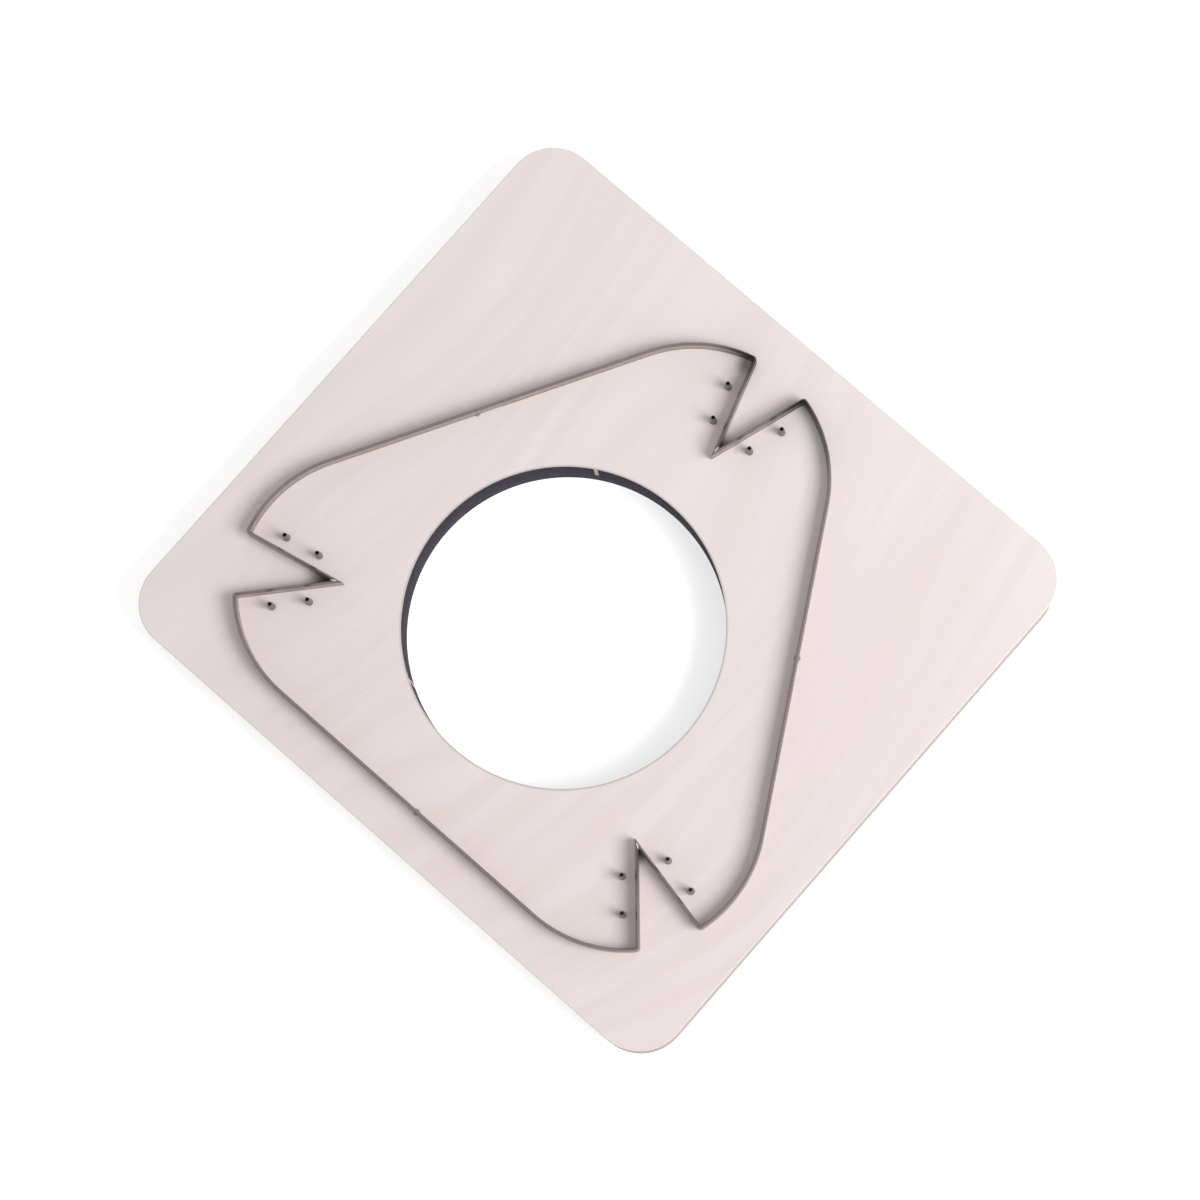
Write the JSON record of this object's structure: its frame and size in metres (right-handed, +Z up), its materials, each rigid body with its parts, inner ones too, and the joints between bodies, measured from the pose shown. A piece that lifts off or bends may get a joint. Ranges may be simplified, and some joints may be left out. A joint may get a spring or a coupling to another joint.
{
  "type": "steel rule die",
  "caption": "Plywood cutting die: a bevelled steel rule follows a rounded triangular shape with a V dart at each corner, with small hole punches beside the darts and a round centre hole.",
  "frame": {"origin": "centre of the board's underside", "axes": "+X along the board's longer edge, +Y along the shorter edge towards the single rear dart, +Z up from the underside to the cutting edges"},
  "size_m": [0.216, 0.201, 0.0238],
  "materials": {
    "birch_plywood": "sanded, unvarnished",
    "rule_steel": "rolled, bright bevel",
    "punch_steel": "turned"
  },
  "bodies": {
    "root": {"die_board": "birch_plywood", "right_cutting_rule": "rule_steel", "left_cutting_rule": "rule_steel", "front_cutting_rule": "rule_steel", "hole_punch_1": "punch_steel", "hole_punch_2": "punch_steel", "hole_punch_3": "punch_steel", "hole_punch_4": "punch_steel", "hole_punch_5": "punch_steel", "hole_punch_6": "punch_steel", "hole_punch_7": "punch_steel", "hole_punch_8": "punch_steel", "hole_punch_9": "punch_steel", "hole_punch_10": "punch_steel", "hole_punch_11": "punch_steel", "hole_punch_12": "punch_steel"}
  },
  "joints": []
}
